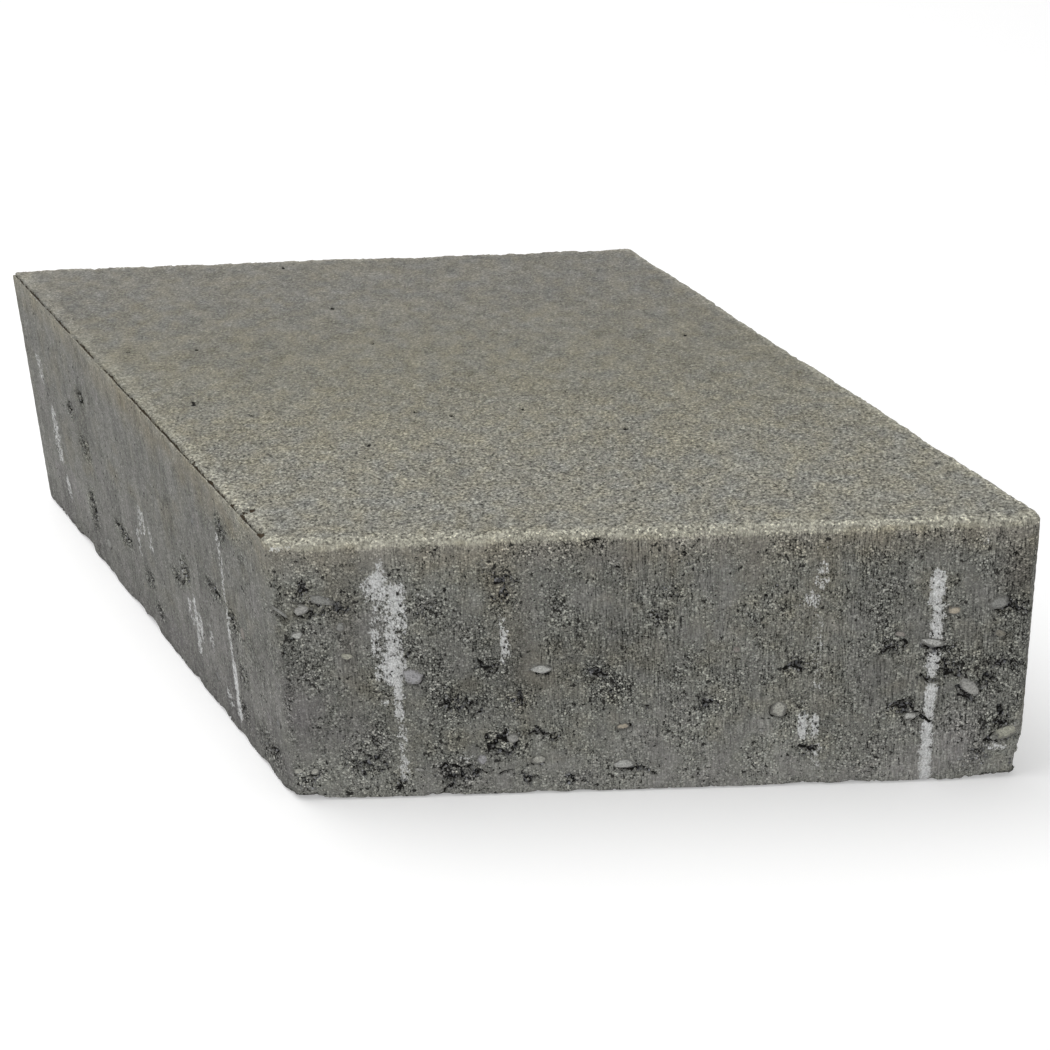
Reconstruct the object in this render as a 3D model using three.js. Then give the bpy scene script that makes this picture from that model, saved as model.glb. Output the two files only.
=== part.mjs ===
// Concrete paving stone with a rhombic plan, cast as one piece.
// Millimetres, +Z up. The origin is the middle of the bed face, the underside the stone is laid on.
// The front face looks along -Y, and its blunt corner is on the left, at -X.

import * as THREE from 'three';

// Driving dimensions.
const SIDE_LENGTH = 192; // each of the four sides, between the sharp corners of the plan
const THICKNESS = 80;
const ACUTE_ANGLE = THREE.MathUtils.degToRad(60);
const TOP_ARRIS_RADIUS = 2.5; // the edge round the wearing face
const BED_ARRIS_RADIUS = 1; // the edge round the bed face
const ACUTE_CORNER_EASING = 0.5; // how much rounder an upright corner is than the arrises it meets
const OBTUSE_CORNER_EASING = 1.5;

// How finely the round stretches are divided.
const CORNER_DIVISIONS = 5;
const ARRIS_DIVISIONS = 6;

const CONCRETE_GREY = 0x85837a;
const CONCRETE_ROUGHNESS = 0.95;

// The four corners of the plan, anticlockwise from the front left, as sharp points round the origin.
function sharpCorners() {
  const front = new THREE.Vector2(SIDE_LENGTH, 0);
  const flank = new THREE.Vector2(-Math.cos(ACUTE_ANGLE), Math.sin(ACUTE_ANGLE)).multiplyScalar(SIDE_LENGTH);
  const frontLeft = front.clone().add(flank).multiplyScalar(-0.5);
  const frontRight = frontLeft.clone().add(front);
  const backRight = frontRight.clone().add(flank);
  const backLeft = frontLeft.clone().add(flank);
  return [frontLeft, frontRight, backRight, backLeft];
}

// An upright corner as an arc: its centre, its radius, and the outward directions it turns between.
function cornerArc(corner, before, after, easing) {
  const arrivingAngle = corner.clone().sub(before).angle();
  const turn = THREE.MathUtils.euclideanModulo(after.clone().sub(corner).angle() - arrivingAngle, 2 * Math.PI);
  const radius = easing + Math.max(TOP_ARRIS_RADIUS, BED_ARRIS_RADIUS);
  const startAngle = arrivingAngle - Math.PI / 2;
  const endAngle = startAngle + turn;
  const middleAngle = startAngle + turn / 2;
  const cornerToCentre = radius / Math.cos(turn / 2);
  const outward = new THREE.Vector2(Math.cos(middleAngle), Math.sin(middleAngle));
  const centre = corner.clone().addScaledVector(outward, -cornerToCentre);
  return { centre, radius, startAngle, endAngle };
}

function cornerArcs() {
  const corners = sharpCorners();
  const easings = [OBTUSE_CORNER_EASING, ACUTE_CORNER_EASING, OBTUSE_CORNER_EASING, ACUTE_CORNER_EASING];
  return corners.map((corner, index) => {
    const before = corners.at(index - 1);
    const after = corners[(index + 1) % corners.length];
    return cornerArc(corner, before, after, easings[index]);
  });
}

// The plan's outline, drawn in by inset all the way round. Each inset gives as many points.
function outlinePoints(arcs, inset) {
  const outline = new THREE.Shape();
  for (const arc of arcs) {
    outline.absarc(arc.centre.x, arc.centre.y, arc.radius - inset, arc.startAngle, arc.endAngle, false);
  }
  return outline.getPoints(CORNER_DIVISIONS);
}

// The section's edge from the bed face to the wearing face: a height and an inset at each level.
function sectionLevels() {
  const levels = [];
  for (let step = 0; step <= ARRIS_DIVISIONS; step += 1) {
    const angle = (step / ARRIS_DIVISIONS) * Math.PI / 2;
    levels.push({
      height: BED_ARRIS_RADIUS * (1 - Math.cos(angle)),
      inset: BED_ARRIS_RADIUS * (1 - Math.sin(angle)),
    });
  }
  for (let step = 0; step <= ARRIS_DIVISIONS; step += 1) {
    const angle = (step / ARRIS_DIVISIONS) * Math.PI / 2;
    levels.push({
      height: THICKNESS - TOP_ARRIS_RADIUS * (1 - Math.sin(angle)),
      inset: TOP_ARRIS_RADIUS * (1 - Math.cos(angle)),
    });
  }
  return levels;
}

// One closed body lofted through rings of equal length, with a flat face at the bottom and the top.
function loftRings(rings) {
  const count = rings[0].length;
  const positions = rings.flat().flatMap((point) => point.toArray());
  const indices = [];
  for (let ring = 0; ring < rings.length - 1; ring += 1) {
    for (let point = 0; point < count; point += 1) {
      const next = (point + 1) % count;
      const lower = ring * count;
      const upper = lower + count;
      indices.push(lower + point, lower + next, upper + next);
      indices.push(lower + point, upper + next, upper + point);
    }
  }
  const top = (rings.length - 1) * count;
  for (const [a, b, c] of THREE.ShapeUtils.triangulateShape(rings[0], [])) {
    indices.push(c, b, a);
    indices.push(top + a, top + b, top + c);
  }
  const geometry = new THREE.BufferGeometry();
  geometry.setAttribute('position', new THREE.Float32BufferAttribute(positions, 3));
  geometry.setIndex(indices);
  geometry.computeVertexNormals();
  return geometry;
}

function stoneGeometry() {
  const arcs = cornerArcs();
  const rings = sectionLevels().map(({ height, inset }) =>
    outlinePoints(arcs, inset).map((point) => new THREE.Vector3(point.x, point.y, height)));
  return loftRings(rings);
}

function pavingStone() {
  const concrete = new THREE.MeshStandardMaterial({
    color: CONCRETE_GREY,
    roughness: CONCRETE_ROUGHNESS,
    metalness: 0,
    flatShading: true,
  });
  const stone = new THREE.Mesh(stoneGeometry(), concrete);
  stone.name = 'paving_stone';
  return stone;
}

const model = new THREE.Group();
model.add(pavingStone());

export default model;
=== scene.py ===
"""A rhombic concrete paving stone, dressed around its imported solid.

The stone is one closed mesh: a fine shell over the solid's own rounded form, with mould marks, grain,
pores, cracks, honeycombed pockets and worn edges cut into it. Pebbles and coarse sand that the mould laid
bare are closed meshes of their own, seated in the sides. Lengths are in millimetres until a mesh is made,
and those of the floor and the lights are in metres.
"""

import math

import bmesh
import bpy
import numpy as np
from mathutils import Matrix, Vector


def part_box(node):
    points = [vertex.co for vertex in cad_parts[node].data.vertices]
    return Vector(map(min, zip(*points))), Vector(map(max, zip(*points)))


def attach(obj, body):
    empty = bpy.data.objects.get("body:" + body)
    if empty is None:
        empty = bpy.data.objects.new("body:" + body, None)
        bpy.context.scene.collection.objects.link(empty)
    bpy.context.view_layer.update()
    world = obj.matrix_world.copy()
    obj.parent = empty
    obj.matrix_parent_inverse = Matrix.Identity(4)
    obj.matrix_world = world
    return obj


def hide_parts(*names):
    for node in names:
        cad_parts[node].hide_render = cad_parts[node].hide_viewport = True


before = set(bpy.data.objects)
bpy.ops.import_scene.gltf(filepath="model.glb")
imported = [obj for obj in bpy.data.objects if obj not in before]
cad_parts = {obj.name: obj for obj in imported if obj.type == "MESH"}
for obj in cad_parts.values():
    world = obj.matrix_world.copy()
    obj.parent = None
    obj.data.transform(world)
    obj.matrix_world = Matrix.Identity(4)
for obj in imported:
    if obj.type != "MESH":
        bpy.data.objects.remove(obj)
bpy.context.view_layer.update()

NODE = "paving_stone"
MM = 0.001

# ---------------------------------------------------------------- the stone's sizes, from the frame

low_corner, high_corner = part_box(NODE)
THICKNESS = (high_corner.z - low_corner.z) / MM
ACUTE = math.radians(60)
SQUARENESS = math.sin(ACUTE)  # distance from a side for each millimetre along its neighbour
SIDE = (high_corner.y - low_corner.y) / SQUARENESS / MM
ALONG = np.array([1.0, 0.0])  # along the front side, from the blunt corner to the acute one
FLANK = np.array([-math.cos(ACUTE), SQUARENESS])  # along the left side, from the same corner
BLUNT_CORNER = -(ALONG + FLANK) * SIDE / 2  # front left, seen from above

# Each side's corner that its marks are measured from, the way along it, and the way out of it.
SIDE_FRAMES = {
    "front": (BLUNT_CORNER, ALONG, np.array([0.0, -1.0])),
    "left": (BLUNT_CORNER, FLANK, np.array([-SQUARENESS, -0.5])),
    "right": (BLUNT_CORNER + SIDE * ALONG, FLANK, np.array([SQUARENESS, 0.5])),
    "back": (BLUNT_CORNER + SIDE * FLANK, ALONG, np.array([0.0, 1.0])),
}

# Radii of the rounding round the wearing face, on its left edge and round the bed, and of the corners.
ARRIS = 2.5
LEFT_ARRIS = 0.7
BED_ARRIS = 1.0
BLUNT_RADIUS = 4.0
ACUTE_RADIUS = 3.0

# ---------------------------------------------------------------- seeded noise

LOW_BITS = np.uint64(0xFFFFFFFF)
AXIS_FACTORS = (0x9E3779B1, 0x85EBCA77, 0xC2B2AE3D)  # odd and large, so that neighbouring cells part
SEED_FACTOR = 0x27D4EB2F
SEED_START = 0x165667B1
STIRRINGS = ((15, 0x2C1B3C6D), (12, 0x297A2D39))  # a shift and a factor each


def hashed(cells, seed):
    """A number from 0 to 1 for each whole-numbered cell."""
    mixed = np.uint64(seed * SEED_FACTOR + SEED_START)
    for axis, factor in enumerate(AXIS_FACTORS):
        mixed = mixed ^ (cells[:, axis].astype(np.uint64) * np.uint64(factor))
    mixed &= LOW_BITS
    for shift, factor in STIRRINGS:
        mixed ^= mixed >> np.uint64(shift)
        mixed = (mixed * np.uint64(factor)) & LOW_BITS
    mixed ^= mixed >> np.uint64(15)
    return mixed.astype(float) / 0xFFFFFFFF


def value_noise(places, size, seed):
    """Smooth noise from -1 to 1 whose lumps measure size, a number or one for each axis."""
    scaled = places / np.asarray(size, float) + 1000.0
    cells = np.floor(scaled).astype(np.int64)
    inside = scaled - cells
    ease = inside ** 3 * (inside * (inside * 6 - 15) + 10)
    total = np.zeros(len(places))
    for step in np.ndindex(2, 2, 2):
        weights = np.where(np.array(step, bool), ease, 1 - ease).prod(axis=1)
        total += weights * hashed(cells + np.array(step), seed)
    return total * 2 - 1


def fractal(places, size, seed, octaves=3, gain=0.5):
    """Noise with finer and finer lumps, each half the size of the last and weaker by the gain."""
    total = np.zeros(len(places))
    weight = 1.0
    weights = 0.0
    for octave in range(octaves):
        total += weight * value_noise(places, np.asarray(size, float) / 2 ** octave, seed + octave)
        weights += weight
        weight *= gain
    return total / weights


def ramp(low, high, value):
    """0 at low and beyond it, 1 at high and beyond it, and an easy slope between them."""
    share = np.clip((value - low) / (high - low), 0, 1)
    return share * share * (3 - 2 * share)


# ---------------------------------------------------------------- the shell over the solid

FINE_EDGE = 2.4  # width of the strip inside the left edge that has the closest grid lines
FINE_STEP = 0.2
GRID_COUNTS = ((440, 300, 185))  # along the front, the flank and upwards
CROWDING = 0.5  # how strongly the lines across the flank crowd towards the front


def grid_lines():
    """Places of the shell's grid lines along the front, the flank and the height."""
    along, across, upwards = GRID_COUNTS
    front = np.concatenate([np.arange(0, FINE_EDGE, FINE_STEP), np.linspace(FINE_EDGE, SIDE, along + 1)])
    share = np.linspace(0, 1, across + 1)
    flank = SIDE * (share + CROWDING * share ** 2) / (1 + CROWDING)
    return front, flank, np.linspace(0, THICKNESS, upwards + 1)


def shell_grid(lines):
    """Places and outward quads of a box-like shell, from the places of its grid lines on three axes."""
    shape = tuple(len(line) for line in lines)
    on_shell = np.zeros(shape, bool)
    for axis in range(3):
        for end in (0, -1):
            on_shell[(slice(None),) * axis + (end,)] = True
    index = np.full(shape, -1, np.int32)
    index[on_shell] = np.arange(np.count_nonzero(on_shell))
    steps = np.argwhere(on_shell)
    places = np.stack([np.asarray(lines[axis])[steps[:, axis]] for axis in range(3)], axis=1)
    quads = []
    for axis in range(3):
        for end in (0, -1):
            sheet = np.take(index, end, axis=axis)
            quad = np.stack([sheet[:-1, :-1], sheet[1:, :-1], sheet[1:, 1:], sheet[:-1, 1:]], axis=-1)
            quad = quad.reshape(-1, 4)
            faces_out = (end == -1) != (axis == 1)
            quads.append(quad if faces_out else quad[:, ::-1])
    return places, np.concatenate(quads)


def rounded_corner(a, b, end_a, end_b):
    """Which points belong to one upright corner's arcs, and their places and outward directions there."""
    blunt = end_a == end_b
    radius = BLUNT_RADIUS if blunt else ACUTE_RADIUS
    half_angle = ACUTE if blunt else ACUTE / 2
    to_a = ALONG * (1 - 2 * end_a)
    to_b = FLANK * (1 - 2 * end_b)
    from_a = np.abs(a - end_a * SIDE)
    from_b = np.abs(b - end_b * SIDE)
    both = np.minimum(from_a, from_b)
    arc_radius = np.maximum(radius - both * SQUARENESS, 0)
    reach = arc_radius / math.tan(half_angle)
    past = np.abs(from_a - from_b)
    near = past < reach
    inward = (to_a + to_b) / np.linalg.norm(to_a + to_b)
    across = (to_a - to_b) / np.linalg.norm(to_a - to_b)
    swing = past[near] / reach[near] * (math.pi / 2 - half_angle)
    side_sign = np.where(from_a > from_b, 1.0, -1.0)[near]
    direction = -np.cos(swing)[:, None] * inward + (side_sign * np.sin(swing))[:, None] * across
    corner = BLUNT_CORNER + end_a * SIDE * ALONG + end_b * SIDE * FLANK
    ring_corner = corner + both[near, None] * (to_a + to_b)
    centre = ring_corner + (arc_radius[near] / math.sin(half_angle))[:, None] * inward
    return near, centre + arc_radius[near, None] * direction, direction


def rounded_plan(a, b):
    """Plan places of points that lie a along the front and b along the flank, with rounded corners.

    Returns the places, the outward directions in plan and each point's distance from the outline.
    """
    place = BLUNT_CORNER + a[:, None] * ALONG + b[:, None] * FLANK
    outward = np.zeros_like(place)
    inset = np.full(len(a), np.inf)
    for side, past_side in {"front": b, "back": SIDE - b, "left": a, "right": SIDE - a}.items():
        distance = past_side * SQUARENESS
        nearer = distance < inset
        inset = np.where(nearer, distance, inset)
        outward[nearer] = SIDE_FRAMES[side][2]
    for end_a, end_b in ((0, 0), (1, 0), (1, 1), (0, 1)):
        near, arc_places, directions = rounded_corner(a, b, end_a, end_b)
        place[near] = arc_places
        outward[near] = directions
    return place, outward, inset


def rounded_section(inset, away, radius):
    """How an arris rounds off: the new inset, the new distance from the face, and the angle towards it."""
    share = np.clip((inset - away) / radius, -1, 1)
    angle = (1 + share) * math.pi / 4
    on_arris = np.abs(share) < 1
    new_inset = np.where(on_arris, radius * (1 - np.cos(angle)), inset)
    new_away = np.where(on_arris, radius * (1 - np.sin(angle)), away)
    return new_inset, new_away, angle


def bare_stone():
    """The shell's places in space, outward directions and quads, before anything is cut into it."""
    grid, quads = shell_grid(grid_lines())
    a, b, height = grid.T
    plan, outward, inset = rounded_plan(a, b)
    leftness = ramp(0.6, 0.9, -outward[:, 0]) * ramp(-2, 4, b) * ramp(-2, 4, SIDE - b)
    radius = ARRIS + (LEFT_ARRIS - ARRIS) * leftness
    radius = radius * (1 + 0.35 * fractal(np.column_stack([plan, height]), 9, 11))
    top_inset, new_drop, top_angle = rounded_section(inset, THICKNESS - height, radius)
    bed_inset, new_rise, bed_angle = rounded_section(inset, height, np.full(len(a), BED_ARRIS))
    upper = height > THICKNESS / 2
    new_inset = np.where(upper, top_inset, bed_inset)
    new_height = np.where(upper, THICKNESS - new_drop, new_rise)
    tilt = np.where(upper, top_angle, -bed_angle)
    plan = plan - outward * (new_inset - inset)[:, None]
    places = np.column_stack([plan, new_height])
    normals = np.column_stack([outward * np.cos(tilt)[:, None], np.sin(tilt)])
    return places, normals, quads


# ---------------------------------------------------------------- what the mould, the mix and the wear left

LEAST_DEPTH = 0.09  # the finished surface stays this far inside the solid

# Places on a side are millimetres along it from the blunt front corner, and up from the bed.
# Honeycombed pockets: along, up, half width, half height and depth.
FRONT_POCKETS = {
    "honeycomb above the thin streak": (57.0, 65.5, 3.4, 6.5, 1.1),
    "under the grey pebble, left": (11.8, 59.6, 3.2, 2.2, 2.2),
    "right of the grey pebble": (17.5, 60.5, 3.6, 2.4, 1.2),
    "left of the grey pebble, high": (8.0, 66.0, 1.6, 4.5, 1.2),
    "under the grey pebble, right": (186.0, 54.5, 4.4, 2.2, 1.7),
    "right of the tilted pebble": (179.5, 31.5, 4.0, 3.2, 1.5),
    "left of the speckled pebble": (154.5, 43.0, 3.4, 1.5, 1.4),
    "low left run": (20.5, 13.0, 6.0, 7.0, 1.2),
    "left of the wide streak": (32.8, 47.0, 1.8, 4.4, 1.0),
    "beside the wide streak, high": (38.0, 60.0, 3.0, 4.5, 0.8),
    "middle run": (46.0, 30.0, 7.0, 5.0, 1.2),
    "middle run, high": (59.5, 31.5, 3.0, 3.6, 1.4),
    "corner of the thin streak": (53.0, 41.0, 4.0, 2.6, 1.5),
    "low middle run": (43.5, 7.0, 5.5, 4.6, 1.9),
    "low by the drip": (28.5, 5.0, 2.5, 3.5, 1.2),
    "flat pebble's gap": (55.0, 16.8, 5.0, 3.8, 2.2),
    "right of the flat pebble": (66.0, 18.8, 5.0, 2.6, 1.3),
    "low pebble's gap": (89.5, 7.0, 5.2, 1.8, 1.8),
    "small, low": (61.7, 5.4, 3.0, 2.0, 1.2),
    "small, lower right": (73.0, 4.6, 3.2, 2.2, 1.5),
    "pair, left": (79.5, 38.0, 4.4, 3.0, 1.4),
    "pair, right": (84.6, 33.6, 3.2, 3.0, 1.5),
    "small, right of the run": (73.3, 28.0, 1.8, 2.2, 1.3),
    "wide": (109.4, 26.8, 3.4, 3.2, 1.5),
    "under the pale blotch": (134.5, 12.4, 3.2, 1.8, 1.5),
    "right of middle": (130.4, 38.0, 3.2, 2.2, 1.6),
    "left of the long streak, low": (158.5, 24.0, 3.8, 2.4, 1.3),
    "across the long streak": (169.0, 35.0, 5.5, 4.6, 1.6),
    "under the beige pebble": (167.0, 42.0, 4.4, 1.6, 1.5),
    "under the tilted pebble": (173.5, 27.5, 3.6, 2.4, 1.4),
    "edge, above the long pebble": (183.5, 19.8, 3.4, 3.8, 1.9),
    "edge, middle": (183.5, 38.0, 5.5, 2.0, 1.3),
    "edge, low": (189.0, 24.0, 2.6, 5.0, 1.3),
    "low, by the edge": (178.0, 9.0, 2.2, 3.0, 1.2),
    "under the arris": (80.2, 77.4, 1.6, 0.8, 1.6),
    "upper middle": (99.0, 60.9, 1.8, 1.6, 1.1),
    "upper middle, low": (96.2, 54.2, 1.8, 1.4, 1.0),
    "low left corner": (3.5, 8.0, 3.8, 2.6, 1.4),
}
LEFT_POCKETS = {
    "wide, far": (140.0, 41.0, 5.0, 4.0, 2.2),
    "above it": (137.0, 59.0, 3.4, 3.4, 1.8),
    "between": (148.5, 50.0, 3.4, 2.6, 1.5),
    "tall, far and low": (141.0, 19.0, 3.0, 9.0, 1.6),
    "low middle": (115.0, 24.0, 7.0, 2.4, 1.6),
    "lower, middle": (95.5, 18.5, 3.6, 3.0, 1.5),
    "small, low": (90.0, 10.0, 3.0, 2.0, 1.3),
    "bent, upper": (63.0, 38.5, 2.4, 4.8, 1.7),
    "bent, lower": (71.0, 32.5, 4.6, 1.8, 1.5),
    "right of it": (42.0, 43.5, 5.5, 1.8, 1.6),
    "beside the pink pebble": (30.5, 40.0, 3.4, 2.6, 2.0),
    "high by the streak": (31.5, 68.0, 2.4, 3.6, 1.6),
    "right of the streak": (27.0, 24.0, 2.6, 3.2, 1.6),
    "foot of the streak": (30.0, 11.0, 3.0, 3.0, 1.5),
    "low by the corner": (13.0, 9.5, 8.0, 3.6, 1.8),
}

# Cracks and slits: the points that each runs through, its half width and its depth.
FRONT_CRACKS = {
    "under the speckled pebble": (((151.5, 41.0), (153.7, 42.8), (157.8, 45.0), (158.3, 43.5)), 0.35, 1.5),
    "edge, high": (((182.7, 57.3), (183.9, 54.2), (185.4, 53.6), (188.6, 52.0)), 0.35, 1.6),
    "edge, middle": (((179.4, 38.7), (181.6, 37.4), (184.1, 37.8), (188.0, 36.6)), 0.30, 1.6),
    "under the beige pebble": (((162.0, 43.6), (165.1, 41.6), (168.6, 42.5)), 0.35, 1.5),
    "across the long streak": (((162.2, 34.3), (164.2, 32.0), (166.2, 32.7)), 0.45, 1.6),
    "round the tilted pebble": (((171.7, 30.2), (173.4, 27.2), (176.3, 25.2)), 0.35, 1.6),
    "left of the streak": (((154.3, 24.0), (156.6, 26.1), (158.9, 26.7)), 0.35, 1.5),
    "left of the streak, low": (((156.5, 23.1), (159.6, 22.6), (162.4, 22.7)), 0.25, 1.2),
    "into the streak": (((163.0, 21.4), (165.6, 19.3)), 0.40, 1.4),
    "above the long pebble": (((182.0, 18.6), (183.5, 20.7), (183.0, 23.6)), 0.60, 2.2),
    "left of the long pebble": (((179.6, 12.6), (182.5, 15.8), (184.7, 17.6)), 0.35, 1.6),
    "under the long pebble": (((180.0, 12.4), (184.5, 12.6), (188.0, 13.4)), 0.40, 1.8),
    "under the white pebble": (((5.9, 58.3), (7.7, 57.7)), 0.25, 1.2),
    "under the sliver": (((0.0, 59.3), (1.8, 57.3), (3.0, 56.4)), 0.30, 1.5),
    "slit, left": (((1.2, 47.1), (2.4, 47.6)), 0.25, 1.2),
    "chain, left": (((1.2, 67.6), (2.9, 65.7)), 0.22, 1.0),
    "ring": (((51.4, 19.8), (52.3, 15.3), (54.0, 14.7), (57.0, 13.4), (59.3, 17.0)), 0.50, 2.2),
    "ring, top": (((54.3, 19.3), (56.6, 17.8)), 0.45, 2.0),
    "ring, inside": (((53.5, 18.2), (53.9, 16.4)), 0.40, 1.8),
    "beside the ring": (((59.9, 20.6), (60.2, 19.6)), 0.35, 1.4),
    "right run": (((61.6, 18.7), (63.4, 20.1), (64.7, 21.5), (66.5, 19.0)), 0.35, 1.5),
    "right run, end": (((68.6, 17.6), (70.4, 18.6)), 0.25, 1.2),
    "low slit": (((54.2, 6.9), (57.4, 8.4)), 0.35, 1.5),
    "low slit, left": (((48.4, 9.0), (51.0, 7.4)), 0.30, 1.3),
    "low, right": (((71.8, 5.8), (73.9, 4.0), (72.2, 2.8)), 0.35, 1.5),
    "middle run": (((60.5, 33.2), (60.2, 31.0), (58.5, 30.5), (59.8, 29.2)), 0.30, 1.4),
    "thin streak's corner": (((50.2, 43.2), (52.0, 41.0), (55.6, 40.2)), 0.40, 1.7),
    "low run, roof": (((38.8, 9.2), (40.2, 10.8), (41.4, 9.6)), 0.35, 1.6),
    "low run, left": (((41.7, 8.6), (41.0, 5.8)), 0.40, 1.8),
    "low run, right": (((44.4, 8.2), (44.9, 6.1), (46.0, 5.8)), 0.30, 1.6),
    "low run, high": (((45.2, 9.6), (46.8, 9.8)), 0.35, 1.5),
    "low run, foot": (((41.6, 3.9), (39.8, 2.3), (38.8, 0.8)), 0.50, 2.0),
    "low pebble's gap": (((85.6, 6.9), (88.4, 7.2), (91.0, 7.9), (95.0, 5.2)), 0.35, 1.5),
    "pair": (((77.4, 39.4), (79.4, 37.6), (83.0, 37.2)), 0.30, 1.4),
    "right of middle": (((127.6, 37.4), (130.0, 38.8), (132.0, 36.8)), 0.30, 1.5),
    "under the arris": (((79.1, 77.4), (81.5, 78.0)), 0.35, 1.6),
    "under the blotch": (((132.3, 12.2), (136.6, 12.6)), 0.30, 1.3),
}
LEFT_CRACKS = {
    "bent": (((75.0, 33.5), (69.0, 31.0), (65.5, 33.5), (63.0, 41.0)), 0.40, 1.6),
    "right of it": (((47.0, 45.0), (42.0, 42.5), (38.0, 43.5)), 0.35, 1.5),
    "low middle": (((121.0, 26.0), (115.0, 23.0), (109.0, 24.0)), 0.50, 1.6),
    "high by the streak": (((31.0, 71.0), (31.6, 66.0)), 0.35, 1.4),
    "under the film": (((84.0, 26.0), (82.0, 17.0)), 0.35, 1.2),
}

# Chips out of the bed's edge: along the front and the left side from the blunt corner, reach and depth.
BED_CHIPS = {
    "blunt corner": (3.0, 0.0, 9.0, 1.1),
    "front, right end": (193.0, 0.0, 24.0, 1.5),
    "front, left of middle": (40.0, 0.0, 3.0, 0.4),
    "front, right of middle": (134.0, 0.0, 7.0, 0.35),
    "front, beyond the lump": (76.0, 0.0, 4.0, 0.3),
    "left side, by the corner": (0.0, 17.5, 3.6, 1.3),
    "left side, second": (0.0, 47.0, 3.6, 0.7),
    "left side, third": (0.0, 56.0, 1.8, 0.6),
    "left side, middle": (0.0, 100.0, 5.0, 1.2),
    "left side, beyond it": (0.0, 110.0, 7.0, 0.7),
    "left side, fourth": (0.0, 131.0, 3.4, 0.6),
    "left side, far": (0.0, 153.0, 7.0, 0.7),
}

# Lime washed down a side: along, from and to which height, the half width and the strength.
FRONT_LIME = {
    "wide streak, tip": (27.8, 74.0, 70.0, 1.0, 0.70),
    "wide streak, left lobe": (26.2, 70.5, 62.0, 2.5, 1.00),
    "wide streak, right lobe": (30.8, 66.5, 57.5, 1.9, 1.00),
    "wide streak, waist": (28.0, 62.0, 55.0, 2.6, 0.62),
    "wide streak, middle": (30.2, 58.0, 52.5, 3.0, 0.78),
    "wide streak, left wisp": (25.2, 58.0, 45.0, 1.3, 0.66),
    "wide streak, core": (29.2, 53.0, 45.0, 1.8, 1.00),
    "wide streak, foot": (29.2, 45.5, 37.0, 2.2, 1.35),
    "wide streak, left foot": (25.9, 43.5, 37.8, 1.4, 0.85),
    "drip": (29.6, 38.0, 25.0, 0.75, 1.25),
    "drip, blob": (29.6, 25.0, 15.0, 0.9, 0.62),
    "drip, foot": (29.3, 14.5, 5.5, 0.9, 0.92),
    "drip, left": (25.8, 33.0, 29.5, 1.2, 0.50),
    "thin streak, top": (56.9, 57.0, 49.5, 0.55, 0.80),
    "thin streak": (57.0, 50.5, 42.5, 0.55, 1.05),
    "wisp, upper": (136.8, 69.5, 60.0, 1.8, 0.45),
    "wisp, blob": (134.0, 60.5, 55.5, 1.7, 0.56),
    "wisp, trail": (136.0, 56.0, 30.0, 1.8, 0.28),
    "pale blotch, left": (132.8, 23.6, 15.6, 0.75, 1.35),
    "pale blotch, right": (135.9, 23.4, 15.8, 0.80, 1.20),
    "pale blotch, faint": (136.0, 14.0, 5.0, 1.6, 0.40),
    "long streak, top": (165.2, 65.8, 56.0, 1.45, 1.35),
    "long streak, upper": (165.7, 57.0, 45.2, 1.25, 1.25),
    "long streak, middle": (165.1, 41.0, 33.8, 1.2, 1.45),
    "long streak, lower": (165.0, 31.2, 21.0, 1.0, 1.40),
    "long streak, foot": (164.7, 19.5, -2.0, 1.0, 1.80),
    "above the grey pebble": (176.5, 74.0, 72.5, 2.0, 0.55),
    "lip at the blunt corner": (2.6, 84.0, 78.4, 3.2, 1.30),
    "ledge under the long pebble": (183.2, 11.6, 9.8, 2.4, 0.75),
    "scratch": (123.5, 11.5, 10.6, 5.5, 0.45),
    "by the low slit": (46.3, 14.5, 10.5, 1.2, 0.60),
}
LEFT_LIME = {
    "long streak": (34.0, 38.0, 23.0, 0.75, 1.05),
    "long streak, foot": (33.8, 25.0, 5.5, 1.05, 1.30),
    "long streak, faint top": (34.0, 66.0, 38.0, 0.9, 0.55),
    "group, left": (63.5, 30.0, 21.0, 1.1, 0.66),
    "group, middle": (59.3, 32.5, 13.0, 0.9, 0.98),
    "group, right": (56.4, 28.0, 19.0, 1.0, 0.92),
    "group, far right": (48.5, 28.5, 20.0, 0.9, 0.62),
    "group, high": (66.0, 41.5, 35.0, 1.2, 0.50),
    "smudge, middle": (96.0, 42.0, 33.0, 2.4, 0.52),
    "smudge, upper": (101.0, 34.0, 24.0, 1.6, 0.45),
    "smudge, left": (90.0, 40.0, 30.0, 1.6, 0.42),
    "foot, near": (40.0, 12.0, 7.0, 2.0, 0.55),
    "far, small": (164.0, 19.0, 12.0, 1.4, 0.85),
    "far, faint": (168.0, 42.0, 22.0, 2.6, 0.55),
    "far, upper": (174.0, 58.0, 48.0, 2.2, 0.50),
}

# Brown runs below the arris: along, foot, half width and strength.
FRONT_STAINS = {
    "left of middle": (89.0, 66.0, 1.6, 0.8),
    "middle": (99.5, 66.0, 1.3, 0.8),
    "by the corner": (17.0, 54.0, 3.4, 0.55),
    "honeycomb": (57.0, 60.0, 3.0, 0.7),
    "right": (120.0, 64.0, 2.6, 0.6),
    "far right": (150.0, 68.0, 4.0, 0.4),
    "far right corner": (187.0, 58.0, 5.0, 0.75),
    "low, left": (18.0, 28.0, 2.0, 0.35),
    "low middle": (61.0, 24.0, 3.0, 0.35),
}
LEFT_STAINS = {
    "high, all along": (95.0, 70.0, 75.0, 0.30),
    "high, middle": (90.0, 74.0, 22.0, 0.55),
}

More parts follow.
